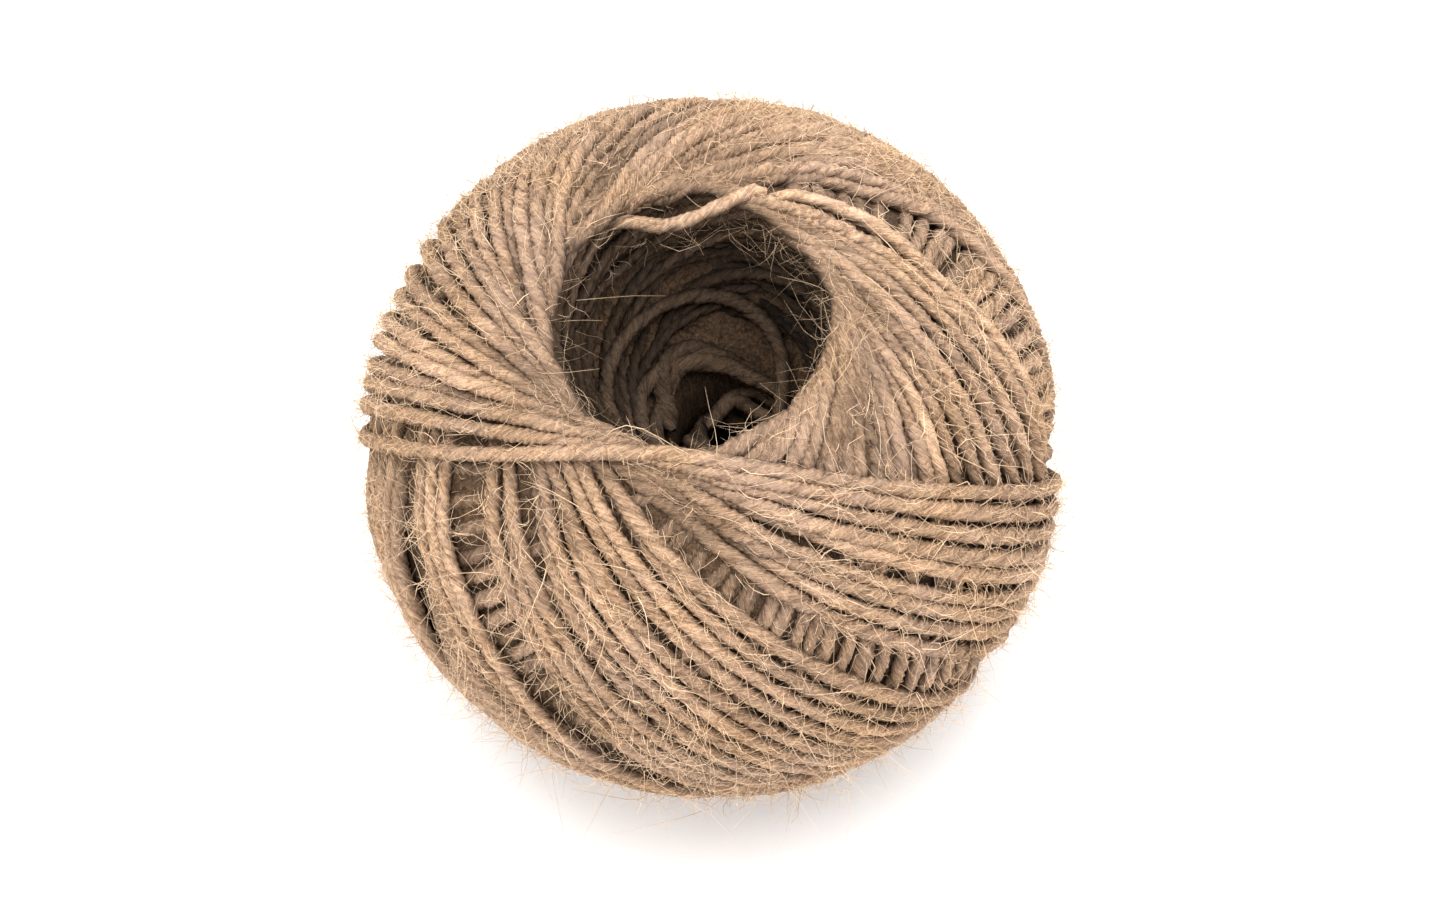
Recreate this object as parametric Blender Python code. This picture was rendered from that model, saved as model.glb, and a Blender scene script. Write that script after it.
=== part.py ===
"""Ball of two-ply jute twine, wound on a mandrel and drawn off it, standing on one end.

It is one continuous piece of twine, so the object is one solid: the wound form, with the hole
that the mandrel left and the main twists of the winding. Metres, +Z up, origin at the bottom
centre of the ball's box, with the mouth of the hole on top.
"""

import math
from collections import namedtuple

import bmesh
import bpy
from mathutils import Matrix, Vector

# Driving dimensions.
CORE_RADIUS = 0.0413  # radius of the ball under its newest turns
CENTRE_HEIGHT = 0.0380  # height of the ball's centre over the flat spot that it stands on
LEAN = math.radians(3.7)  # the winding axis leans this far towards -X

# Main twists, oldest first. A twist is a group of neighbouring turns in one plane through the
# centre: touch is where round the axis it comes closest to the hole, and tilt is the angle
# between its plane and the ball's waist. Degrees and metres.
Twist = namedtuple("Twist", "touch tilt half_width lift")
TWISTS = (
    Twist(touch=288.0, tilt=64.0, half_width=0.0052, lift=0.00010),
    Twist(touch=309.0, tilt=63.0, half_width=0.0052, lift=0.00010),
    Twist(touch=331.0, tilt=62.0, half_width=0.0056, lift=0.00015),
    Twist(touch=354.0, tilt=62.0, half_width=0.0056, lift=0.00020),
    Twist(touch=14.0, tilt=63.0, half_width=0.0050, lift=0.00020),
    Twist(touch=33.0, tilt=67.0, half_width=0.0048, lift=0.00025),
    Twist(touch=51.0, tilt=68.0, half_width=0.0046, lift=0.00025),
    Twist(touch=70.0, tilt=58.5, half_width=0.0030, lift=0.00060),
    Twist(touch=97.0, tilt=62.0, half_width=0.0056, lift=0.00030),
    Twist(touch=119.0, tilt=60.0, half_width=0.0052, lift=0.00035),
    Twist(touch=136.0, tilt=57.0, half_width=0.0046, lift=0.00040),
    Twist(touch=150.0, tilt=36.0, half_width=0.0042, lift=0.00035),
    Twist(touch=169.0, tilt=47.0, half_width=0.0042, lift=0.00040),
    Twist(touch=188.0, tilt=62.0, half_width=0.0048, lift=0.00045),
    Twist(touch=205.0, tilt=64.5, half_width=0.0050, lift=0.00050),
    Twist(touch=222.0, tilt=63.0, half_width=0.0052, lift=0.00055),
    Twist(touch=247.0, tilt=65.0, half_width=0.0056, lift=0.00065),
    Twist(touch=260.5, tilt=62.4, half_width=0.0024, lift=0.00095),
)
CROWN = 0.0008  # how much higher a twist is along its middle than at its sides
TWIST_EDGE = 0.0018  # a twist comes down to the turns under it over this width

# The hole, from just inside the mouth to the underside. Its lower part has slumped aside.
HoleRow = namedtuple("HoleRow", "depth radius aside")
MOUTH_RADIUS = 0.0160
RIM_ROUND = 0.0020  # the rim is rounded by about the thickness of the twine
FOOT_RADIUS = 0.0130
HOLE = (
    HoleRow(depth=0.0060, radius=0.0158, aside=0.0001),
    HoleRow(depth=0.0105, radius=0.0153, aside=0.0004),
    HoleRow(depth=0.0150, radius=0.0145, aside=0.0008),
    HoleRow(depth=0.0190, radius=0.0131, aside=0.0013),
    HoleRow(depth=0.0225, radius=0.0110, aside=0.0018),
    HoleRow(depth=0.0255, radius=0.0084, aside=0.0022),
    HoleRow(depth=0.0285, radius=0.0063, aside=0.0024),
    HoleRow(depth=0.0325, radius=0.0050, aside=0.0025),
    HoleRow(depth=0.0390, radius=0.0047, aside=0.0023),
    HoleRow(depth=0.0450, radius=0.0052, aside=0.0018),
    HoleRow(depth=0.0510, radius=0.0063, aside=0.0013),
    HoleRow(depth=0.0570, radius=0.0081, aside=0.0008),
    HoleRow(depth=0.0630, radius=0.0102, aside=0.0004),
    HoleRow(depth=0.0685, radius=0.0118, aside=0.0001),
    HoleRow(depth=0.0725, radius=0.0125, aside=0.0),
)
RELIEF_ENDS = 0.0080  # depth in the hole by which the outside's relief has gone

# Mesh fineness.
AROUND = 88  # points round the axis
OUTSIDE_RINGS = 34  # rings from the underside's hole up to the rim
RIM_RINGS = 5

JUTE = (0.50, 0.32, 0.18, 1.0)
JUTE_ROUGHNESS = 0.95


def clear_scene():
    for obj in list(bpy.data.objects):
        bpy.data.objects.remove(obj, do_unlink=True)


def jute_material():
    material = bpy.data.materials.new("jute_twine")
    material.use_nodes = True
    shader = material.node_tree.nodes["Principled BSDF"]
    shader.inputs["Base Color"].default_value = JUTE
    shader.inputs["Roughness"].default_value = JUTE_ROUGHNESS
    shader.inputs["Metallic"].default_value = 0.0
    return material


def hole_section():
    """Rings of the closed section: radius, height over the centre, aside and share of relief."""
    foot = math.asin(FOOT_RADIUS / CORE_RADIUS)
    rim = math.asin((MOUTH_RADIUS + RIM_ROUND) / CORE_RADIUS)
    rings = []
    for step in range(OUTSIDE_RINGS):
        polar = math.pi - foot - (math.pi - foot - rim) * step / OUTSIDE_RINGS
        rings.append((CORE_RADIUS * math.sin(polar), CORE_RADIUS * math.cos(polar), 0.0, 1.0))
    rim_centre = (CORE_RADIUS - RIM_ROUND) * math.cos(rim)
    for step in range(RIM_RINGS):
        turn = math.pi / 2 * step / (RIM_RINGS - 1)
        radius = MOUTH_RADIUS + RIM_ROUND * (1 - math.sin(turn))
        rings.append((radius, rim_centre + RIM_ROUND * math.cos(turn), 0.0, 1.0))
    for row in HOLE:
        relief = max(0.0, 1 - row.depth / RELIEF_ENDS)
        rings.append((row.radius, rim_centre + RIM_ROUND - row.depth, row.aside, relief))
    return rings


def twist_normals():
    normals = []
    for twist in TWISTS:
        touch = math.radians(twist.touch)
        tilt = math.radians(twist.tilt)
        side = math.sin(tilt)
        normals.append(Vector((-side * math.cos(touch), -side * math.sin(touch), math.cos(tilt))))
    return normals


def twist_lift(direction, normals):
    """How far the highest twist over this direction stands out from the core."""
    highest = 0.0
    for twist, normal in zip(TWISTS, normals):
        away = CORE_RADIUS * abs(math.asin(max(-1.0, min(1.0, direction.dot(normal)))))
        edge = 1 - (away - twist.half_width) / TWIST_EDGE
        edge = min(1.0, max(0.0, edge))
        across = min(1.0, away / twist.half_width)
        height = (twist.lift + CROWN * (1 - across * across)) * edge
        highest = max(highest, height)
    return highest


def ball_mesh():
    lean = Matrix.Rotation(-LEAN, 3, "Y")
    normals = twist_normals()
    mesh = bmesh.new()
    rings = []
    for radius, height, aside, relief in hole_section():
        ring = []
        for j in range(AROUND):
            angle = 2 * math.pi * j / AROUND
            point = Vector((radius * math.cos(angle), radius * math.sin(angle), height))
            outward = point.normalized()
            point += outward * twist_lift(outward, normals) * relief
            point = lean @ (point + Vector((aside, 0, 0)))
            point.z = max(0.0, point.z + CENTRE_HEIGHT)
            ring.append(mesh.verts.new(point))
        rings.append(ring)
    for k, ring in enumerate(rings):
        inner = rings[(k + 1) % len(rings)]
        for j in range(AROUND):
            following = (j + 1) % AROUND
            mesh.faces.new((ring[j], ring[following], inner[following], inner[j]))
    bmesh.ops.triangulate(mesh, faces=mesh.faces)
    return mesh


def centre_over_origin(mesh):
    for axis in (0, 1):
        values = [vert.co[axis] for vert in mesh.verts]
        middle = (min(values) + max(values)) / 2
        for vert in mesh.verts:
            vert.co[axis] -= middle


def build_ball():
    mesh = ball_mesh()
    centre_over_origin(mesh)
    data = bpy.data.meshes.new("wound_ball")
    mesh.to_mesh(data)
    mesh.free()
    data.shade_smooth()
    data.materials.append(jute_material())
    ball = bpy.data.objects.new("wound_ball", data)
    bpy.context.scene.collection.objects.link(ball)
    return ball


clear_scene()
build_ball()
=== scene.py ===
"""Looks of the ball of twine: every turn of the newest layers as twisted two-ply jute, the turns
lining the hole, and the loose fibres. Lengths in this script are millimetres until a mesh is made.
"""

import math
from collections import namedtuple

import bpy
import numpy as np
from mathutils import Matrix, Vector
from mathutils.bvhtree import BVHTree


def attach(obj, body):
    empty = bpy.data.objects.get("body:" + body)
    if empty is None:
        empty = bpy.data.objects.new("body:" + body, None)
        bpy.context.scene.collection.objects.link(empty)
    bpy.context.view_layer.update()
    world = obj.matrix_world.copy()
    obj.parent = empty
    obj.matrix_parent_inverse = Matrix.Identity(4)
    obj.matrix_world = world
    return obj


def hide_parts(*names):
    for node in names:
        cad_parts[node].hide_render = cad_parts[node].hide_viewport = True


BALL = "wound_ball"
MM = 0.001

# The ball, as in the CAD.
CENTRE = np.array([0.0, 0.0, 38.0])
LEAN = math.radians(3.7)  # the winding axis leans this far towards -X
AXIS = np.array([-math.sin(LEAN), 0.0, math.cos(LEAN)])
EAST = np.array([math.cos(LEAN), 0.0, math.sin(LEAN)])
NORTH = np.array([0.0, 1.0, 0.0])

# The twine.
TWINE = 1.02  # half its width over both plies
CREASE = 0.78  # distance of the crease between plies from the twine's centre
LAY = 8.0  # length of one full twist
TUCK, TUCK_SAMPLES = 1.5, 15  # a hidden end is pushed down this far, over this many samples
SIDE_SHADE = 0.42  # painted shade: how light a twine's sides are, where it lies against its neighbours
LAY_VARIES = 0.10  # the lay differs by this share from one length to the next
PRESSED, SPREAD = 0.93, 1.04  # a twine is this much lower, and this much wider, than round
SWELLING, SWELLS, SWELL_LENGTH = 0.26, 0.35, 5.0  # a slub's size, how many twines have one, length
STEP = 0.92  # distance between a twine's rings
STAND = 0.1  # the turns stand this far out of the CAD's outside
LAYER = 1.35  # one layer's thickness, pressed by the turns over it
RIM_LAYER = 0.55  # and near the ends of the hole, where turns crowd side by side
DEEPEST = 3.0  # no turn is laid deeper than this under the outside
RIM_DEEPEST = 1.7  # nor than this near the ends of the hole
DEPTH_SHADE = 0.26  # painted shade: how much darker a turn is for each millimetre it lies under others
SEAT = 0.9  # a turn's centre lies this share of its half width under its top
CLIMB = 0.15  # how steeply a turn rises where the turns over it leave a gap
SIDE_BY_SIDE = 0.75  # turns closer together than this lie on one another
HALF_COVER = 1.2  # a turn hides what is this far to each side of its middle
BALL_RADIUS = 41.0  # near enough for turning a distance across a turn into an angle
CORE_DEPTH = 2.7  # depth of the surface under the turns that are modelled one by one

# The winding. A turn touches the hole's rim at touch, in degrees round the axis, and comes down
# both ways to the ball's waist and under. Its half on the side of larger angles, rising, lies in a
# plane through the centre at this angle to the waist. Its other half, falling, lies in another
# plane, which would touch the rim at falls_at.
Knot = namedtuple("Knot", "touch rising falls_at falling")
KNOTS = (
    Knot(touch=-460.0, rising=62.0, falls_at=-460.0, falling=62.0),
    Knot(touch=-100.0, rising=62.0, falls_at=-100.0, falling=62.0),
    Knot(touch=-60.0, rising=62.0, falls_at=-60.0, falling=63.5),
    Knot(touch=-20.0, rising=63.0, falls_at=-20.0, falling=62.0),
    Knot(touch=0.0, rising=62.0, falls_at=0.0, falling=62.3),
    Knot(touch=15.0, rising=62.0, falls_at=15.0, falling=63.0),
    Knot(touch=45.0, rising=63.0, falls_at=45.0, falling=69.0),
    Knot(touch=64.0, rising=62.0, falls_at=66.5, falling=70.5),
    Knot(touch=70.0, rising=61.0, falls_at=75.5, falling=69.0),
    Knot(touch=92.0, rising=59.0, falls_at=97.5, falling=64.0),
    Knot(touch=128.0, rising=53.0, falls_at=138.0, falling=62.5),
    Knot(touch=140.0, rising=44.0, falls_at=151.0, falling=62.0),
    Knot(touch=150.0, rising=42.0, falls_at=161.5, falling=63.0),
    Knot(touch=158.0, rising=47.5, falls_at=170.0, falling=64.0),
    Knot(touch=170.0, rising=51.0, falls_at=174.5, falling=65.5),
    Knot(touch=187.0, rising=53.0, falls_at=192.0, falling=67.0),
    Knot(touch=200.0, rising=55.5, falls_at=206.0, falling=67.6),
    Knot(touch=217.0, rising=57.3, falls_at=226.0, falling=67.5),
    Knot(touch=226.5, rising=58.8, falls_at=230.5, falling=66.5),
    Knot(touch=240.0, rising=58.5, falls_at=246.0, falling=65.8),
    Knot(touch=252.5, rising=61.0, falls_at=258.0, falling=66.0),
    Knot(touch=256.5, rising=62.0, falls_at=261.9, falling=63.8),
    Knot(touch=260.5, rising=62.6, falls_at=266.6, falling=62.0),
)
# Stretches of the winding with no turns, where the layer below shows.
Gap = namedtuple("Gap", "first last")
GAPS = (
    Gap(first=-292.0, last=-266.0),
    Gap(first=-206.0, last=-186.0),
    Gap(first=-150.0, last=-131.0),
    Gap(first=-40.0, last=-34.0),
    Gap(first=71.5, last=96.0),
    Gap(first=155.5, last=170.5),
    Gap(first=216.5, last=227.5),
    Gap(first=240.5, last=243.5),
)
FIRST_TOUCH, LAST_TOUCH = -440.0, 260.5
TURN_STEP = 3.8  # degrees between neighbouring turns
LOOSE_FIRST, LOOSE_LAST, LOOSE_STEP = 170.0, 217.0, 1.20  # where they lie this much wider apart
OLD_STEP, OLD_TOUCH = 1.24, 62.0  # turns older than this are spaced this much wider
RIM_POLAR = 24.6  # degrees from the axis where turns touch the rim on top
FOOT_POLAR = 19.5  # and on the underside
RIM_REACH = 26.0  # degrees along a turn over which the rim draws it in
RIM_SPREAD = 1.6  # degrees by which turns miss the rim and the foot
STEP_VARIES, TOUCH_VARIES = 0.12, 0.28  # share of a step, and degrees
TILT_VARIES, OLD_TILT_VARIES, OLD_TILT_TOUCH = 0.5, 1.5, -25.0  # older turns vary more
EVEN_FROM, EVEN_OVER, EVEN_BLUR = 100.0, 20.0, 2.5  # falling halves are evenly spaced from here on
NEWEST_AS_LAID = 3  # but not the newest turns
SAMPLES, SAMPLE_STEP = 760, 0.35  # along a turn, and how far apart they are

rng = np.random.default_rng(11)


# ---------------------------------------------------------------- directions on the ball


def direction(polar, azimuth):
    """Unit vectors from angles in radians: polar from the axis, azimuth round it from EAST."""
    s = np.sin(polar)
    return (
        np.cos(polar)[..., None] * AXIS
        + (s * np.cos(azimuth))[..., None] * EAST
        + (s * np.sin(azimuth))[..., None] * NORTH
    )


def angles(d):
    polar = np.arccos(np.clip(d @ AXIS, -1, 1))
    return polar, np.arctan2(d @ NORTH, d @ EAST)


def smooth(x):
    x = np.clip(x, 0, 1)
    return x * x * (3 - 2 * x)


def blurred(values, sigma, wrap=False):
    """Gaussian blur along the first axis, in samples."""
    n = max(1, int(3 * sigma))
    kernel = np.exp(-0.5 * (np.arange(-n, n + 1) / sigma) ** 2)
    kernel /= kernel.sum()
    mode = "wrap" if wrap else "edge"
    padded = np.pad(values, [(n, n)] + [(0, 0)] * (values.ndim - 1), mode=mode)
    out = np.zeros_like(values, dtype=float)
    for k, weight in enumerate(kernel):
        out += weight * padded[k : k + len(values)]
    return out


def wander(count, step, length, amount):
    """Smooth random numbers along a path, with this typical length and standard deviation."""
    sigma = max(0.7, length / step / 2)
    reach = int(3 * sigma)
    kernel = np.exp(-0.5 * (np.arange(-reach, reach + 1) / sigma) ** 2)
    kernel /= math.sqrt((kernel**2).sum())
    return amount * np.convolve(rng.normal(size=count + 2 * reach), kernel, "valid")


# ---------------------------------------------------------------- the CAD's outside


ENV_POLAR, ENV_AZIMUTH = 91, 121  # grid of the outside, 2 by 3 degrees


def outside_of(node):
    """Distance of the CAD's outside from the ball's centre, over a grid of directions."""
    mesh = frame_objects[node].data
    verts = [v.co for v in mesh.vertices]
    tree = BVHTree.FromPolygons(verts, [tuple(p.vertices) for p in mesh.polygons])
    polar = np.radians(np.linspace(0, 180, ENV_POLAR))
    azimuth = np.radians(np.linspace(-180, 180, ENV_AZIMUTH))
    dirs = direction(*np.meshgrid(polar, azimuth, indexing="ij"))
    out = np.zeros(dirs.shape[:2])
    centre = Vector(CENTRE * MM)
    for i in range(ENV_POLAR):
        for j in range(ENV_AZIMUTH):
            way = Vector(dirs[i, j])
            hit = tree.ray_cast(centre + way * 0.08, -way)[0]
            out[i, j] = (hit - centre).length / MM if hit else 0.0
    first = int(27 / 2)
    out[:first] = out[first]
    down = -(dirs @ np.array([0.0, 0.0, 1.0]))
    flat = CENTRE[2] / np.maximum(down, 1e-3)
    last = int(158 / 2)
    out[last:] = flat[last:]
    ring = np.concatenate([out[:, -8:-1], out, out[:, 1:8]], axis=1)
    ring = blurred(ring.T, 1.6).T
    out = blurred(ring[:, 7:-7], 1.3)
    return np.minimum(out, flat)


def outside(polar, azimuth):
    """Distance from the ball's centre to which the turns reach, in these directions."""
    u = np.degrees(polar) / 180 * (ENV_POLAR - 1)
    v = (np.degrees(azimuth) + 180) % 360 / 360 * (ENV_AZIMUTH - 1)
    i = np.clip(u.astype(int), 0, ENV_POLAR - 2)
    j = np.clip(v.astype(int), 0, ENV_AZIMUTH - 2)
    a, b = u - i, v - j
    e = ENVELOPE
    return STAND + (
        e[i, j] * (1 - a) * (1 - b)
        + e[i + 1, j] * a * (1 - b)
        + e[i, j + 1] * (1 - a) * b
        + e[i + 1, j + 1] * a * b
    )


# ---------------------------------------------------------------- paths of the turns


def touches():
    """Where each turn touches the rim, oldest first."""
    found = []
    at = FIRST_TOUCH
    while at < LAST_TOUCH - 0.6 * TURN_STEP:
        gap = next((g for g in GAPS if g.first < at < g.last), None)
        if gap:
            if at - gap.first < 0.6 * TURN_STEP:
                found.append(gap.first)
            at = gap.last
        found.append(at + rng.normal() * TOUCH_VARIES)
        wider = OLD_STEP if at < OLD_TOUCH else 1.0
        wider = LOOSE_STEP if LOOSE_FIRST < at < LOOSE_LAST else wider
        at += TURN_STEP * wider * (1 + STEP_VARIES * rng.normal())
    found.append(LAST_TOUCH)
    return np.array(found)


def turn_paths(touch):
    """Polar and azimuth angles along each turn, from the underside up to the rim and back.

    theta runs along the turn in degrees, 0 where it touches the rim and 180 on the underside. The
    turn passes from its falling to its rising plane over the top, and under the ball into the
    planes of the turns before and after it.
    """
    count = len(touch)
    knots = np.array([k.touch for k in KNOTS])
    falling = np.interp(touch, knots, [k.falling for k in KNOTS])
    varies = np.where(touch < OLD_TILT_TOUCH, OLD_TILT_VARIES, TILT_VARIES)
    falling += rng.normal(size=count) * varies
    rising = np.interp(touch, knots, [k.rising for k in KNOTS])
    rising += rng.normal(size=count) * TILT_VARIES
    rim = RIM_POLAR + np.abs(rng.normal(size=count)) * RIM_SPREAD
    foot = FOOT_POLAR + np.abs(rng.normal(size=count)) * RIM_SPREAD
    falls_at = np.interp(touch, knots, [k.falls_at for k in KNOTS])
    trend = TURN_STEP * np.arange(count)
    even = blurred(falls_at - trend, EVEN_BLUR) + trend
    share = smooth((touch - EVEN_FROM) / EVEN_OVER) * (np.arange(count) < count - NEWEST_AS_LAID)
    falls_at += (even - falls_at) * share
    paths = []
    theta = np.linspace(-180, 180, SAMPLES)
    for k in range(count):
        before, after = max(0, k - 1), min(count - 1, k + 1)
        top = smooth((theta + 60) / 120)
        under_after = smooth((theta - 120) / 120)
        under_before = smooth((-theta - 120) / 120)
        tilt = falling[k] * (1 - top) + rising[k] * top
        tilt = tilt * (1 - under_after) + falling[after] * under_after
        tilt = tilt * (1 - under_before) + rising[before] * under_before
        if after == k or touch[after] - touch[k] > 8:
            onward = touch[k] + TURN_STEP
        else:
            onward = touch[after]
        if before == k or touch[k] - touch[before] > 8:
            back = touch[k] - TURN_STEP
        else:
            back = touch[before]
        at = touch[k] + np.where(theta > 0, onward - touch[k], touch[k] - back) * theta / 360
        at = at + (falls_at[k] - touch[k]) * smooth((20 - theta) / 60) * smooth((theta + 178) / 50)
        t, tilt, at = np.radians(theta), np.radians(tilt), np.radians(at)
        e = np.cos(at)[:, None] * EAST + np.sin(at)[:, None] * NORTH
        e_side = -np.sin(at)[:, None] * EAST + np.cos(at)[:, None] * NORTH
        high = np.sin(tilt)[:, None] * AXIS + np.cos(tilt)[:, None] * e
        d = np.cos(t)[:, None] * high + np.sin(t)[:, None] * e_side
        polar, azimuth = angles(d)
        tilt_top = np.degrees(tilt[SAMPLES // 2])
        drawn = max(0.0, (90 - tilt_top) - rim[k]) if tilt_top > 55 else 0.0
        polar -= np.radians(drawn) * np.exp(-((theta / RIM_REACH) ** 2))
        spread = np.abs(theta) - 180
        tilt_low = np.degrees(tilt[0])
        drawn = max(0.0, (90 - tilt_low) - foot[k])
        polar += np.radians(drawn) * np.exp(-((spread / RIM_REACH) ** 2))
        polar += np.radians(wander(SAMPLES, SAMPLE_STEP, 16.0, 0.28))
        paths.append((polar, azimuth))
    return paths


# A slack turn comes up the right side and hangs across the back of the hole's mouth. Up to the
# first row it is a plain turn; a row says where it passes round the axis and how far from the
# axis, in degrees, and reach is its distance from the ball's centre, or 0 where it lies on others.
SlackRow = namedtuple("SlackRow", "azimuth polar reach")
SLACK_ORDER = 71.0  # it was laid between the turns that touch the rim on either side of this
SLACK_TOUCH, SLACK_TILT = 80.0, 68.0
SLACK = (
    SlackRow(azimuth=22.0, polar=40.0, reach=0.0),
    SlackRow(azimuth=30.0, polar=36.6, reach=0.0),
    SlackRow(azimuth=42.0, polar=31.0, reach=0.0),
    SlackRow(azimuth=53.0, polar=27.8, reach=0.0),
    SlackRow(azimuth=62.0, polar=25.0, reach=41.6),
    SlackRow(azimuth=70.0, polar=22.8, reach=40.3),
    SlackRow(azimuth=80.0, polar=20.6, reach=39.0),
    SlackRow(azimuth=94.0, polar=19.2, reach=37.9),
    SlackRow(azimuth=108.0, polar=19.8, reach=37.5),
    SlackRow(azimuth=120.0, polar=23.3, reach=38.2),
    SlackRow(azimuth=130.0, polar=27.5, reach=38.3),
    SlackRow(azimuth=138.0, polar=31.0, reach=37.8),
)


def slack_path():
    """The slack turn's path and its distance from the centre, not a number where it lies down."""
    tilt = math.radians(SLACK_TILT)
    at = math.radians(SLACK_TOUCH)
    e = math.cos(at) * EAST + math.sin(at) * NORTH
    e_side = -math.sin(at) * EAST + math.cos(at) * NORTH
    high = math.sin(tilt) * AXIS + math.cos(tilt) * e
    t = np.radians(np.arange(-180, -38, 0.5))
    polar, azimuth = angles(np.cos(t)[:, None] * high + np.sin(t)[:, None] * e_side)
    rows = np.array(SLACK)
    fine = np.linspace(0, len(rows) - 1, 120)
    columns = [np.interp(fine, np.arange(len(rows)), rows[:, c]) for c in range(3)]
    azimuth = blurred(np.concatenate([np.unwrap(azimuth), np.radians(columns[0])]), 4.0)
    polar = blurred(np.concatenate([polar, np.radians(columns[1])]), 4.0)
    reach = np.concatenate([np.full(len(t), np.nan), columns[2]])
    reach[reach < rows[:, 2].max() * 0.8] = np.nan
    return (polar, azimuth), reach


# ---------------------------------------------------------------- which turn lies over which

CELL_POLAR, CELL_AZIMUTH = 0.5, 0.75  # degrees
COVER_SHAPE = (int(180 / CELL_POLAR) + 1, int(360 / CELL_AZIMUTH))


def cell(d):
    polar, azimuth = angles(d)
    i = np.clip((np.degrees(polar) / CELL_POLAR).astype(int), 0, COVER_SHAPE[0] - 1)
    j = ((np.degrees(azimuth) + 180) / CELL_AZIMUTH).astype(int) % COVER_SHAPE[1]
    return i, j


def settle(paths, held):
    """Lays the turns from the newest inwards. Returns each turn's points and which of them show.

    filled holds, for each small cell of directions, how deep the turns already laid reach. A
    turn under others keeps to their depth, and rises only slowly where they leave a gap. held
    gives the distance from the ball's centre of a turn that hangs free, where it does.
    """
    filled = np.zeros(COVER_SHAPE)
    covered = np.zeros(COVER_SHAPE, dtype=bool)
    laid = []
    for k in range(len(paths) - 1, -1, -1):
        polar, azimuth = paths[k]
        d = direction(polar, azimuth)
        along = np.gradient(d, axis=0)
        along /= np.linalg.norm(along, axis=1)[:, None]
        side = np.cross(d, along)
        reach = outside(polar, azimuth)
        steps = np.linalg.norm(np.diff(d, axis=0), axis=1) * BALL_RADIUS
        s = np.concatenate([[0], np.cumsum(steps)])
        deep = np.zeros(len(d))
        for lateral in (-0.3, 0.0, 0.3):
            deep = np.maximum(deep, filled[cell(d + side * (lateral / BALL_RADIUS))])
        crowd = smooth((np.degrees(np.minimum(polar, math.pi - polar)) - 26) / 20)
        deepest = RIM_DEEPEST + (DEEPEST - RIM_DEEPEST) * crowd
        deep = np.minimum(deep, deepest)
        rise = CLIMB * s
        deep_on = np.maximum.accumulate(deep + rise) - rise
        deep_back = (np.maximum.accumulate((deep - rise)[::-1]) + rise[::-1])[::-1]
        deep = np.maximum(deep_on, deep_back)
        deep = np.minimum(blurred(deep, 1.3 / SAMPLE_STEP), deepest)
        layer = RIM_LAYER + (LAYER - RIM_LAYER) * crowd
        seen = np.zeros(len(d), dtype=bool)
        for lateral in (-0.6, 0.0, 0.6):
            seen |= ~covered[cell(d + side * (lateral / BALL_RADIUS))]
        centre_reach = reach - deep - TWINE * SEAT
        if k in held:
            hangs = ~np.isnan(held[k])
            free = blurred(hangs.astype(float), 7.0)
            own = np.interp(np.arange(len(d)), np.flatnonzero(hangs), held[k][hangs])
            centre_reach = centre_reach + (own - centre_reach) * free
            seen |= free > 0.02
        points = CENTRE + d * centre_reach[:, None]
        laid.append((points, d, seen, deep))
        for lateral in np.arange(-HALF_COVER, HALF_COVER + 0.01, 0.2):
            i, j = cell(d + side * (lateral / BALL_RADIUS))
            if abs(lateral) <= SIDE_BY_SIDE:
                under = deep + layer * (0.55 + 0.45 * math.sqrt(1 - lateral**2))
                np.maximum.at(filled, (i, j), under)
            covered[i, j] = True
    return laid


def runs(seen, samples_pad, shortest):
    """Stretches of a turn to build: those that show, and a little more under what covers them."""
    wide = np.convolve(seen, np.ones(2 * samples_pad + 1), "same") > 0
    edges = np.flatnonzero(np.diff(np.concatenate([[0], wide.astype(int), [0]])))
    for start, stop in zip(edges[::2], edges[1::2]):
        if seen[start:stop].sum() >= shortest:
            yield start, stop


def tucked(points, ways):
    """A stretch of a turn with both ends pushed down under the turns that cover them."""
    index = np.arange(len(points))
    from_end = np.minimum(index, index[::-1])
    sink = TUCK * (1 - smooth(from_end / TUCK_SAMPLES))
    return points - ways * sink[:, None]


# ---------------------------------------------------------------- the twine's mesh


def section():
    """The two-ply section as (radius, angle), a ply at angle 0 and the other opposite."""
    half = [(-72, 0.93), (-38, 1.0), (0, TWINE), (38, 1.0), (72, 0.93), (90, CREASE)]
    points = [(r, math.radians(a)) for a, r in half]
    return points + [(r, a + math.pi) for r, a in points]


SECTION = section()
SIDES = len(SECTION)


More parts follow.
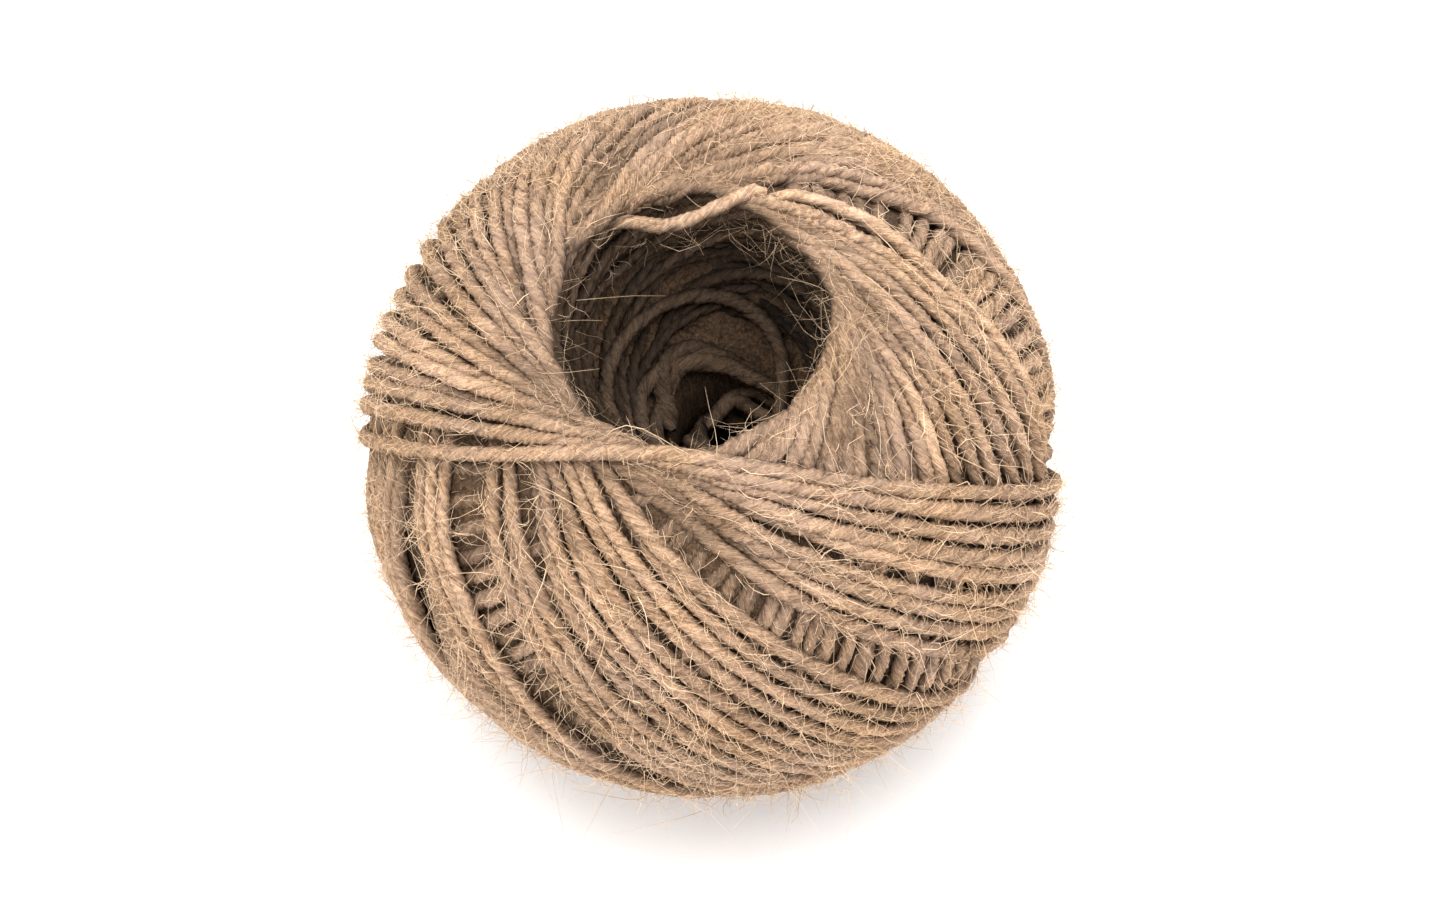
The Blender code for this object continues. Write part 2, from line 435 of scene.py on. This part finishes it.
class Strands:
    """Collects closed twines, then makes one mesh of them."""

    def __init__(self):
        self.points, self.faces, self.fibre, self.tone = [], [], [], []
        self.roots = []
        self.count = 0

    def add(self, centres, outward, tone, size=1.0):
        """One twine along these centres, pressed a little flat along outward."""
        n = len(centres)
        along = np.gradient(centres, axis=0)
        length = np.linalg.norm(along, axis=1)
        along /= length[:, None]
        out = outward - along * (outward * along).sum(1)[:, None]
        out /= np.linalg.norm(out, axis=1)[:, None]
        side = np.cross(along, out)
        s = np.concatenate([[0], np.cumsum(np.linalg.norm(np.diff(centres, axis=0), axis=1))])
        phase = rng.uniform(0, 2 * math.pi)
        lay = LAY * (1 + LAY_VARIES * rng.normal())
        turn = phase - 2 * math.pi * s / lay + wander(n, STEP, 12.0, 0.8)
        thick = size * (1 + wander(n, STEP, 4.0, 0.05) + wander(n, STEP, 24.0, 0.05))
        if n > 30 and rng.random() < SWELLS:
            middle = rng.uniform(0.1, 0.9) * s[-1]
            thick += SWELLING * np.exp(-(((s - middle) / SWELL_LENGTH) ** 2))
        start_s = rng.uniform(0, 500)
        drift = 1 + wander(n, STEP, 7.0, 0.07)
        taper = np.ones(n)
        taper[0] = taper[-1] = 0.55
        for radius, angle in SECTION:
            a = angle + turn
            r = radius * thick * taper * (1 + wander(n, STEP, 2.5, 0.055))
            self.points.append(
                centres
                + out * (r * np.cos(a) * PRESSED)[:, None]
                + side * (r * np.sin(a) * SPREAD)[:, None]
            )
            self.fibre.append(
                np.stack(
                    [
                        np.full(n, radius * math.cos(angle)),
                        np.full(n, radius * math.sin(angle)),
                        start_s + s,
                    ],
                    axis=1,
                )
            )
            # Painted shade: the crease between the plies is darkened, and the crown of each ply
            # lightened a little.
            crease_shade = np.interp(radius, [CREASE, 0.95, TWINE], [0.66, 0.93, 1.03])
            # Painted shade on the twine's sides, where it lies against its neighbours.
            shade = SIDE_SHADE + (1 - SIDE_SHADE) * smooth((np.cos(a) + 0.05) / 0.75)
            self.tone.append(tone * drift * crease_shade * shade)
        self.roots.append(np.concatenate([centres, along, out, side], axis=1))
        base = self.count
        grid = base + np.arange(SIDES)[:, None] * n + np.arange(n)[None, :]
        quads = np.stack(
            [
                grid[:, :-1],
                grid[:, 1:],
                np.roll(grid, -1, axis=0)[:, 1:],
                np.roll(grid, -1, axis=0)[:, :-1],
            ],
            axis=-1,
        ).reshape(-1, 4)
        self.faces.append(("quads", quads[:, ::-1]))
        self.faces.append(("cap", grid[:, 0]))
        self.faces.append(("cap", grid[::-1, -1]))
        self.count += SIDES * n

    def triangles(self):
        return sum(2 * len(f) if kind == "quads" else len(f) - 2 for kind, f in self.faces)

    def build(self, name, material):
        quads = np.concatenate([f for kind, f in self.faces if kind == "quads"])
        caps = [f for kind, f in self.faces if kind == "cap"]
        return make_piece(
            name,
            np.concatenate(self.points),
            quads,
            caps,
            material,
            {"fibre": np.concatenate(self.fibre), "tone": np.concatenate(self.tone)},
        )


def make_piece(name, points, quads, caps, material, attributes):
    mesh = bpy.data.meshes.new(name)
    cap_sizes = np.array([len(c) for c in caps], dtype=int)
    sizes = np.concatenate([np.full(len(quads), quads.shape[1]), cap_sizes])
    loops = np.concatenate([quads.ravel()] + [np.asarray(c) for c in caps]).astype(np.int32)
    mesh.vertices.add(len(points))
    mesh.vertices.foreach_set("co", (points * MM).astype(np.float32).ravel())
    mesh.loops.add(len(loops))
    mesh.loops.foreach_set("vertex_index", loops)
    mesh.polygons.add(len(sizes))
    starts = np.concatenate([[0], np.cumsum(sizes)[:-1]]).astype(np.int32)
    mesh.polygons.foreach_set("loop_start", starts)
    mesh.update(calc_edges=True)
    for key, values in attributes.items():
        if values.ndim == 2:
            layer = mesh.attributes.new(key, "FLOAT_VECTOR", "POINT")
            layer.data.foreach_set("vector", values.astype(np.float32).ravel())
        else:
            layer = mesh.attributes.new(key, "FLOAT", "POINT")
            layer.data.foreach_set("value", values.astype(np.float32))
    mesh.shade_smooth()
    mesh.materials.append(material)
    piece = bpy.data.objects.new(name, mesh)
    bpy.context.scene.collection.objects.link(piece)
    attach(piece, "root")
    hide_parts(BALL)
    return piece


# ---------------------------------------------------------------- the hole

# The hole, as in the CAD: depth under the mouth's edge, radius, and how far it has slumped aside.
HoleRow = namedtuple("HoleRow", "depth radius aside")
MOUTH_HEIGHT = 37.5  # of the mouth's edge over the ball's centre
HOLE = (
    HoleRow(depth=0.0, radius=17.7, aside=0.0),
    HoleRow(depth=1.5, radius=16.4, aside=0.0),
    HoleRow(depth=6.0, radius=15.8, aside=0.1),
    HoleRow(depth=10.5, radius=15.3, aside=0.4),
    HoleRow(depth=15.0, radius=14.5, aside=0.8),
    HoleRow(depth=19.0, radius=13.1, aside=1.3),
    HoleRow(depth=22.5, radius=11.0, aside=1.8),
    HoleRow(depth=25.5, radius=8.4, aside=2.2),
    HoleRow(depth=28.5, radius=6.3, aside=2.4),
    HoleRow(depth=32.5, radius=5.0, aside=2.5),
    HoleRow(depth=39.0, radius=4.7, aside=2.3),
    HoleRow(depth=45.0, radius=5.2, aside=1.8),
    HoleRow(depth=51.0, radius=6.3, aside=1.3),
    HoleRow(depth=57.0, radius=8.1, aside=0.8),
    HoleRow(depth=63.0, radius=10.2, aside=0.4),
    HoleRow(depth=68.5, radius=11.8, aside=0.1),
    HoleRow(depth=72.5, radius=12.6, aside=0.0),
    HoleRow(depth=75.2, radius=13.4, aside=0.0),
)
WALL_TOP, WALL_FOOT = 3.0, 73.2  # the lining keeps between these depths
UPPER_LINING = (3.0, 24.0, 0.66)  # first depth, last depth and step of the turns on the wall
LOWER_LINING = (44.0, 73.0, 1.15)
NEST_DEPTHS = (23.0, 24.9, 26.3, 27.8, 29.4, 31.5, 33.6, 36.0, 38.5)  # of the slumped rings
HOLE_DEPTHS = np.array([row.depth for row in HOLE])
# Painted shade of the hole: the tone of the turns in it, by depth, darkest round its narrow
# middle.
HOLE_SHADE_DEPTHS = (1.0, 3.5, 8.0, 18.0, 28.0, 50.0, 70.0)
HOLE_SHADES = (0.80, 0.45, 0.25, 0.16, 0.13, 0.22, 0.75)


def on_wall(depth, azimuth, behind):
    """Points this far behind the hole's wall, and the directions out of the wall."""
    radius = np.interp(depth, HOLE_DEPTHS, [row.radius for row in HOLE]) + behind
    aside = np.interp(depth, HOLE_DEPTHS, [row.aside for row in HOLE])
    ray = np.cos(azimuth)[..., None] * EAST + np.sin(azimuth)[..., None] * NORTH
    up = (MOUTH_HEIGHT - depth)[..., None] * AXIS
    return CENTRE + up + aside[..., None] * EAST + radius[..., None] * ray, -ray


def hole_shade(depth):
    """Painted shade: turns in the hole are darker the deeper they lie, and lighter again towards
    its lower end.
    """
    return np.interp(depth, HOLE_SHADE_DEPTHS, HOLE_SHADES)


def wall_turn(strand, azimuth, depth, span, slant, drop, behind, size, tone):
    """One stretch of an old turn on the hole's wall. Its ends sink into the winding."""
    radius = np.interp(depth, HOLE_DEPTHS, [row.radius for row in HOLE])
    count = max(6, int(2 * span * radius / (STEP * 1.35)))
    off = np.linspace(-span, span, count)
    share = off / span
    depths = depth + slant * off + drop * share**2 + wander(count, STEP, 9.0, 0.25)
    depths = np.clip(depths, WALL_TOP, WALL_FOOT)
    back = behind + 2.4 * np.abs(share) ** 4 + wander(count, STEP, 9.0, 0.18)
    points, out = on_wall(depths, azimuth + off, back)
    # painted shade of the hole, by depth
    strand.add(points, out, tone * hole_shade(depths), size=size)


def line_hole(strand):
    for depth in np.arange(*UPPER_LINING):
        for turn in range(4):
            azimuth = rng.uniform(0, 2 * math.pi)
            left = 0.5 - 0.5 * math.cos(azimuth - math.radians(-30))
            slant = rng.normal() * 2.6 + 5.5 * left
            wall_turn(
                strand, azimuth, depth + rng.normal() * 0.4, rng.uniform(0.6, 1.0), slant,
                rng.uniform(0.2, 1.2), rng.uniform(0.5, 1.6), rng.uniform(0.75, 0.9),
                0.95 + 0.28 * rng.normal(),
            )
    for depth in np.arange(*LOWER_LINING):
        for turn in range(2):
            wall_turn(
                strand, rng.uniform(0, 2 * math.pi), depth, rng.uniform(0.7, 1.1),
                rng.normal() * 2.0, rng.uniform(-1.0, -0.2), rng.uniform(0.7, 1.5), 0.95,
                0.90 + 0.10 * rng.normal(),
            )


def line_nest(strand):
    """The oldest turns, which have slumped into rings over the narrow part of the hole."""
    for depth in NEST_DEPTHS:
        count = 64
        azimuth = np.linspace(0, 2 * math.pi * rng.uniform(0.55, 0.93), count)
        azimuth += rng.uniform(0, 2 * math.pi)
        tip = rng.uniform(0.5, 3.0)
        lean = rng.uniform(0, 2 * math.pi)
        depths = depth + tip * np.cos(azimuth - lean) + wander(count, 0.9, 12.0, 0.7)
        back = -0.1 + wander(count, 0.9, 10.0, 0.8)
        points, out = on_wall(depths, azimuth, back)
        out = out * 0.8 + AXIS * 0.6
        even = spaced(points, STEP)
        # painted shade of the hole, by depth, lightened a little at random
        tone = hole_shade(depth) * (1.15 + 0.3 * abs(rng.normal()))
        strand.add(even, resampled(points, out, len(even)), tone)


def lengths(points):
    return np.concatenate([[0], np.cumsum(np.linalg.norm(np.diff(points, axis=0), axis=1))])


def resampled(points, values, count):
    s = lengths(points)
    even = np.linspace(0, s[-1], count)
    return np.stack([np.interp(even, s, values[:, c]) for c in range(values.shape[1])], axis=1)


def spaced(points, step):
    return resampled(points, points, max(4, int(lengths(points)[-1] / step)))


def make_core(material):
    """What lies under the turns that show, closed, with the hole through it."""
    around = 96
    azimuth = np.linspace(-math.pi, math.pi, around, endpoint=False)
    rings = []
    for polar in np.radians(np.linspace(158.0, 27.5, 46)):
        d = direction(np.full(around, polar), azimuth)
        rings.append(CENTRE + d * (outside(np.full(around, polar), azimuth) - CORE_DEPTH)[:, None])
    for depth in np.linspace(3.6, 71.6, 44):
        rings.append(on_wall(np.full(around, depth), azimuth, np.full(around, 1.7))[0])
    points = np.concatenate(rings)
    fibre = points * 0.35
    grid = np.arange(len(points)).reshape(len(rings), around)
    onward = np.roll(grid, -1, axis=0)
    quads = np.stack(
        [grid, np.roll(grid, -1, axis=1), np.roll(onward, -1, axis=1), onward], axis=-1
    ).reshape(-1, 4)
    tone = np.full(len(points), 0.9)
    make_piece("inner_turns", points, quads, [], material, {"fibre": fibre, "tone": tone})


# ---------------------------------------------------------------- loose fibres


def grow(roots, count, long, lift, thick, points=5):
    """Closed tapered fibres rooted on the twine. Returns points, quads, caps and tones.

    long is the typical length, and lift how steeply they stand: 0 lies along the twine.
    """
    pick = rng.integers(0, len(roots), count)
    centre, along, out, side = (roots[pick, 3 * k : 3 * k + 3] for k in range(4))
    angle = rng.normal(size=count) * 0.75
    normal = out * np.cos(angle)[:, None] + side * np.sin(angle)[:, None]
    start = centre + normal * (TWINE * 0.80)
    way = along * (rng.choice([-1, 1], count) * rng.uniform(0.5, 1.0, count))[:, None]
    way += normal * np.abs(rng.normal(size=count) * lift + lift * 0.6)[:, None]
    way += rng.normal(size=(count, 3)) * 0.30
    way /= np.linalg.norm(way, axis=1)[:, None]
    length = long * np.exp(np.clip(rng.normal(size=count) * 0.45, -0.9, 0.7))
    bend = rng.normal(size=(count, 3)) * 0.8 - normal * 0.35
    swirl = np.cross(way, rng.normal(size=(count, 3)))
    t = np.linspace(0, 1, points)
    line = (
        start[:, None, :]
        + way[:, None, :] * (length[:, None] * t)[..., None]
        + bend[:, None, :] * (length[:, None] * 0.5 * t**2)[..., None]
        + swirl[:, None, :] * (length[:, None] * 0.12 * np.sin(t * 5.0))[..., None]
    )
    line[..., 2] = np.maximum(line[..., 2], 0.15)
    radius = thick * np.exp(rng.normal(size=count) * 0.25)
    return tubes(line, radius, 1 + 0.16 * rng.normal(size=count))


def tubes(line, thick, tone):
    """Three-sided closed tubes along these lines, thinner towards their tips."""
    count, points = line.shape[:2]
    along = np.gradient(line, axis=1)
    along /= np.linalg.norm(along, axis=2)[..., None]
    aid = rng.normal(size=(count, 1, 3))
    across = np.cross(along, aid)
    across /= np.linalg.norm(across, axis=2)[..., None]
    other = np.cross(along, across)
    taper = 1 - 0.75 * np.linspace(0, 1, points) ** 1.5
    r = thick[:, None] * taper[None, :]
    corners = []
    for a in (0, 2 * math.pi / 3, 4 * math.pi / 3):
        outward = across * (r * math.cos(a))[..., None]
        corners.append(line + outward + other * (r * math.sin(a))[..., None])
    mesh_points = np.stack(corners, axis=2).reshape(-1, 3)
    grid = np.arange(count * points * 3).reshape(count, points, 3)
    onward = np.roll(grid, -1, axis=2)
    quads = np.stack([grid[:, :-1], onward[:, :-1], onward[:, 1:], grid[:, 1:]], axis=-1)
    quads = quads.reshape(-1, 4)
    caps = np.concatenate([grid[:, 0, ::-1], grid[:, -1]])
    s = np.broadcast_to(np.linspace(0, 1, points)[None, :, None], grid.shape)
    fibre = np.stack([np.zeros(grid.size), np.zeros(grid.size), s.ravel() * 6], axis=1)
    tones = np.broadcast_to(tone[:, None, None], grid.shape).ravel()
    return mesh_points, quads, caps, fibre, tones


def make_fuzz(name, parts, material):
    offset, points, quads, caps, fibre, tone = 0, [], [], [], [], []
    for p, q, c, f, t in parts:
        points.append(p)
        quads.append(q + offset)
        caps.append(c + offset)
        fibre.append(f)
        tone.append(t)
        offset += len(p)
    attributes = {"fibre": np.concatenate(fibre), "tone": np.concatenate(tone)}
    quads, caps = np.concatenate(quads), np.concatenate(caps)
    make_piece(name, np.concatenate(points), quads, caps, material, attributes)


# ---------------------------------------------------------------- materials


def lay_hairs_and_shadows(nodes, links, place, under, scale, seed, width, colour):
    """Fine curling lines matted on the surface, the thin level lines of a soft noise: hairs in a
    light colour, painted shadows of hairs in a dark one.
    """
    soft = nodes.new("ShaderNodeTexNoise")
    soft.noise_dimensions = "4D"
    soft.inputs["W"].default_value = seed
    soft.inputs["Scale"].default_value = scale
    soft.inputs["Detail"].default_value = 1.0
    links.new(place.outputs["Object"], soft.inputs["Vector"])
    near = nodes.new("ShaderNodeMath")
    near.operation = "COMPARE"
    near.inputs[1].default_value = 0.5
    near.inputs[2].default_value = width
    links.new(soft.outputs["Fac"], near.inputs[0])
    share = nodes.new("ShaderNodeMath")
    share.operation = "MULTIPLY"
    share.inputs[1].default_value = HAIR_AND_SHADOW_SHARE
    links.new(near.outputs["Value"], share.inputs[0])
    mixed = nodes.new("ShaderNodeMix")
    mixed.data_type = "RGBA"
    mixed.inputs["B"].default_value = colour
    links.new(share.outputs["Value"], mixed.inputs["Factor"])
    links.new(under.outputs["Result"], mixed.inputs["A"])
    return mixed


# The colours of jute: its dark and light fibres, and the greyer patches.
Dye = namedtuple("Dye", "dark light grey roughness")
TWINE_DYE = Dye(
    dark=(0.25, 0.135, 0.070, 1),
    light=(0.70, 0.47, 0.295, 1),
    grey=(0.49, 0.34, 0.26, 1),
    roughness=0.85,
)
FIBRE_DYE = Dye(
    dark=(0.52, 0.33, 0.18, 1),
    light=(0.92, 0.70, 0.48, 1),
    grey=(0.76, 0.58, 0.43, 1),
    roughness=0.7,
)
# Painted shade: near-black colours for the surface under the turns, for the deep twine in the
# shade of the turns over it.
INNER_SHADE = Dye(
    dark=(0.035, 0.020, 0.011, 1),
    light=(0.16, 0.098, 0.055, 1),
    grey=(0.09, 0.060, 0.042, 1),
    roughness=0.95,
)
HAIR_AND_SHADOW_SHARE = 0.55  # how much each matted line, hair and painted hair shadow alike, covers what is under it


def jute_material(name, dye):
    material = bpy.data.materials.new(name)
    material.use_nodes = True
    nodes, links = material.node_tree.nodes, material.node_tree.links
    shader = nodes["Principled BSDF"]
    shader.inputs["Roughness"].default_value = dye.roughness
    shader.inputs["Specular IOR Level"].default_value = 0.12
    fibre = nodes.new("ShaderNodeAttribute")
    fibre.attribute_name = "fibre"
    tone = nodes.new("ShaderNodeAttribute")
    tone.attribute_name = "tone"
    stretch = nodes.new("ShaderNodeMapping")
    stretch.inputs["Scale"].default_value = (6.5, 6.5, 0.42)
    links.new(fibre.outputs["Vector"], stretch.inputs["Vector"])
    streaks = nodes.new("ShaderNodeTexNoise")
    streaks.inputs["Scale"].default_value = 1.0
    streaks.inputs["Detail"].default_value = 6.0
    streaks.inputs["Roughness"].default_value = 0.72
    links.new(stretch.outputs["Vector"], streaks.inputs["Vector"])
    place = nodes.new("ShaderNodeTexCoord")
    patches = nodes.new("ShaderNodeTexNoise")
    patches.inputs["Scale"].default_value = 90.0
    patches.inputs["Detail"].default_value = 3.0
    links.new(place.outputs["Object"], patches.inputs["Vector"])
    ramp = nodes.new("ShaderNodeValToRGB")
    ramp.color_ramp.elements[0].position = 0.39
    ramp.color_ramp.elements[0].color = dye.dark
    ramp.color_ramp.elements[1].position = 0.61
    ramp.color_ramp.elements[1].color = dye.light
    links.new(streaks.outputs["Fac"], ramp.inputs["Fac"])
    greyer = nodes.new("ShaderNodeMix")
    greyer.data_type = "RGBA"
    greyer.inputs["B"].default_value = dye.grey
    links.new(ramp.outputs["Color"], greyer.inputs["A"])
    patch_share = nodes.new("ShaderNodeMapRange")
    patch_share.inputs["From Min"].default_value = 0.35
    patch_share.inputs["From Max"].default_value = 0.70
    patch_share.inputs["To Max"].default_value = 0.70
    links.new(patches.outputs["Fac"], patch_share.inputs["Value"])
    links.new(patch_share.outputs["Result"], greyer.inputs["Factor"])
    matted = greyer
    for scale, seed, width, colour in (
        (430.0, 0.0, 0.012, dye.light),
        (640.0, 7.0, 0.013, dye.light),
        # painted shadow: dark lines for the thin shadows that matted hairs cast
        (520.0, 3.0, 0.012, dye.dark),
    ):
        matted = lay_hairs_and_shadows(nodes, links, place, matted, scale, seed, width, colour)
    # The tone attribute holds each twine's own tone times its painted shade.
    toned = nodes.new("ShaderNodeMix")
    toned.data_type = "RGBA"
    toned.blend_type = "MULTIPLY"
    toned.inputs["Factor"].default_value = 1.0
    links.new(matted.outputs["Result"], toned.inputs["A"])
    links.new(tone.outputs["Fac"], toned.inputs["B"])
    links.new(toned.outputs["Result"], shader.inputs["Base Color"])
    fine = nodes.new("ShaderNodeMapping")
    fine.inputs["Scale"].default_value = (7.0, 7.0, 0.45)
    links.new(fibre.outputs["Vector"], fine.inputs["Vector"])
    hairs = nodes.new("ShaderNodeTexNoise")
    hairs.inputs["Scale"].default_value = 1.0
    hairs.inputs["Detail"].default_value = 4.0
    links.new(fine.outputs["Vector"], hairs.inputs["Vector"])
    bump = nodes.new("ShaderNodeBump")
    bump.inputs["Strength"].default_value = 0.9
    bump.inputs["Distance"].default_value = 0.0005
    links.new(hairs.outputs["Fac"], bump.inputs["Height"])
    links.new(bump.outputs["Normal"], shader.inputs["Normal"])
    return material


# ---------------------------------------------------------------- camera, floor and light


def aim(obj, at):
    way = Vector(at) - obj.location
    obj.rotation_mode = "QUATERNION"
    obj.rotation_quaternion = way.to_track_quat("-Z", "Y")


CAMERA_DISTANCE, CAMERA_ELEVATION = 0.80, 65.5  # metres and degrees, from the ball's centre
VIEW_WIDTH = 0.1725  # metres across the picture at the ball's centre
SENSOR = 36.0
FLOOR_HALF = 4.0


def make_camera():
    data = bpy.data.cameras.new("camera")
    camera = bpy.data.objects.new("camera", data)
    bpy.context.scene.collection.objects.link(camera)
    far, elevation = CAMERA_DISTANCE, math.radians(CAMERA_ELEVATION)
    centre = Vector(CENTRE * MM)
    back = Vector((0.0, -math.cos(elevation), math.sin(elevation)))
    camera.location = centre + back * far
    aim(camera, centre)
    data.sensor_width = SENSOR
    data.lens = SENSOR * far / VIEW_WIDTH
    data.shift_x = 0.0028
    data.shift_y = -0.0020
    data.clip_start, data.clip_end = 0.01, 10.0
    bpy.context.scene.camera = camera


def make_stage():
    floor_mesh = bpy.data.meshes.new("floor")
    half = FLOOR_HALF
    corners = [(-half, -half, 0), (half, -half, 0), (half, half, 0), (-half, half, 0)]
    floor_mesh.from_pydata(corners, [], [(0, 1, 2, 3)])
    floor = bpy.data.objects.new("floor", floor_mesh)
    bpy.context.scene.collection.objects.link(floor)
    pale = bpy.data.materials.new("pale_floor")
    pale.use_nodes = True
    shader = pale.node_tree.nodes["Principled BSDF"]
    shader.inputs["Base Color"].default_value = (0.93, 0.93, 0.93, 1)
    shader.inputs["Roughness"].default_value = 0.9
    floor_mesh.materials.append(pale)
    world = bpy.data.worlds.new("studio")
    world.use_nodes = True
    sky = world.node_tree.nodes["Background"]
    sky.inputs["Color"].default_value = (1.0, 1.0, 1.0, 1)
    sky.inputs["Strength"].default_value = 1.0
    bpy.context.scene.world = world
    for name, place, size, power, tint in (
        ("key", (-0.05, 0.15, 1.25), 1.2, 27.0, (1.0, 0.98, 0.95)),
        ("fill", (0.30, -1.2, 0.5), 1.2, 7.5, (1.0, 0.95, 0.95)),
    ):
        light = bpy.data.lights.new(name, "AREA")
        light.size = size
        light.energy = power
        light.color = tint
        lamp = bpy.data.objects.new(name, light)
        lamp.location = place
        aim(lamp, CENTRE * MM)
        bpy.context.scene.collection.objects.link(lamp)


# ---------------------------------------------------------------- the pieces

PIECE_TRIANGLES = 185000  # a new piece is begun past this many
PAD, SHORTEST = 20, 6  # samples that a turn goes on under what covers it, and the least that show
TURN_TONE, TURN_TONE_VARIES = 1.02, 0.11
DEPTH_SHADE_FROM, DEPTH_SHADE_OVER = 0.3, 2.4  # painted shade: a turn gets darker from this depth, over this much more


def lay_turns(material):
    """Builds the turns that show, in as many pieces as they need."""
    touch = touches()
    paths = turn_paths(touch)
    slack_at = int(np.searchsorted(touch, SLACK_ORDER))
    slack, slack_reach = slack_path()
    paths.insert(slack_at, slack)
    strands = [Strands()]
    for points, d, seen, deep in settle(paths, {slack_at: slack_reach}):
        tone = TURN_TONE + TURN_TONE_VARIES * rng.normal()
        for start, stop in runs(seen, PAD, SHORTEST):
            centres = spaced(tucked(points[start:stop], d[start:stop]), STEP)
            outward = resampled(points[start:stop], d[start:stop], len(centres))
            dusk = resampled(points[start:stop], deep[start:stop, None], len(centres))[:, 0]
            if strands[-1].triangles() > PIECE_TRIANGLES:
                strands.append(Strands())
            # Painted shade: turns that lie under others are darkened by their depth.
            depth_darkening = DEPTH_SHADE * np.clip(dusk - DEPTH_SHADE_FROM, 0, DEPTH_SHADE_OVER)
            strands[-1].add(centres, outward, tone * (1 - depth_darkening))
    for letter, strand in zip("abcdefgh", strands):
        strand.build(f"turns_{letter}", material)
    return strands


def line_inside(material):
    """Builds the old turns in the hole, and the surface under all the turns."""
    lining = Strands()
    line_hole(lining)
    line_nest(lining)
    lining.build("turns_in_hole", material)
    # The surface under the turns is coloured as painted shade.
    make_core(jute_material("inner_twine_shade", INNER_SHADE))
    return lining


def open_share(roots):
    """How hairy the twine is at each root: less near the rim, deep down and low on the ball."""
    reach = np.linalg.norm(roots[:, :3] - CENTRE, axis=1)
    ways = (roots[:, :3] - CENTRE) / reach[:, None]
    polar = angles(ways)[0]
    from_axis = np.degrees(np.minimum(polar, math.pi - polar))
    share = 0.12 + 0.88 * smooth((from_axis - 24) / 30)
    depth = outside(*angles(ways)) - reach
    share *= np.where(depth < 1.7, 1.0, 0.3)
    share *= 0.35 + 0.65 * smooth((roots[:, 2] - 22) / 16)
    return share, from_axis


RIM_FIBRES_WITHIN = 30.0  # degrees from the axis
HOLE_FIBRES_ABOVE = 26.0  # millimetres over the ball's centre


def make_fibres(strands, lining, material):
    roots = np.concatenate([r for strand in strands for r in strand.roots])
    roots = roots[rng.permutation(len(roots))]
    share, from_axis = open_share(roots)
    outer = roots[rng.random(len(roots)) < share]
    rim = roots[from_axis < RIM_FIBRES_WITHIN]
    in_hole = np.concatenate(lining.roots)
    in_hole = in_hole[(in_hole[:, :3] - CENTRE) @ AXIS > HOLE_FIBRES_ABOVE]
    short = [grow(outer, 8800, 1.9, 0.40, 0.042, points=3)]
    make_fuzz("fibres_short", short, material)
    middling = [grow(outer, 5600, 3.0, 0.36, 0.040, points=4)]
    make_fuzz("fibres_mid", middling, material)
    long = [grow(outer, 3600, 4.6, 0.34, 0.038, points=6)]
    make_fuzz("fibres_long", long, material)
    others = [
        grow(rim, 1200, 2.6, 0.6, 0.034),
        grow(in_hole, 400, 3.4, 0.9, 0.026),
        grow(outer, 100, 6.5, 0.45, 0.040, points=7),
    ]
    make_fuzz("fibres_rim", others, material)


# ---------------------------------------------------------------- the scene

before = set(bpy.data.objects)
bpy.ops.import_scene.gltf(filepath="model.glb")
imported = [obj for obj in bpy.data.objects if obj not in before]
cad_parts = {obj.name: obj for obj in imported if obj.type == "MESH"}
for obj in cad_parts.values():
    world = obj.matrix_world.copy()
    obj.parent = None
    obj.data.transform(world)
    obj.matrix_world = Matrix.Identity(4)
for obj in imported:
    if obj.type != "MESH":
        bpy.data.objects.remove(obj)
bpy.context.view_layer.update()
frame_objects = {o.name: o for o in bpy.context.scene.objects if o.type == "MESH"}
ENVELOPE = outside_of(BALL)

jute = jute_material("jute_twine", TWINE_DYE)
fuzz = jute_material("loose_fibre", FIBRE_DYE)

strands = lay_turns(jute)
lining = line_inside(jute)
make_fibres(strands, lining, fuzz)

make_camera()
make_stage()
bpy.context.scene.view_settings.view_transform = "Standard"
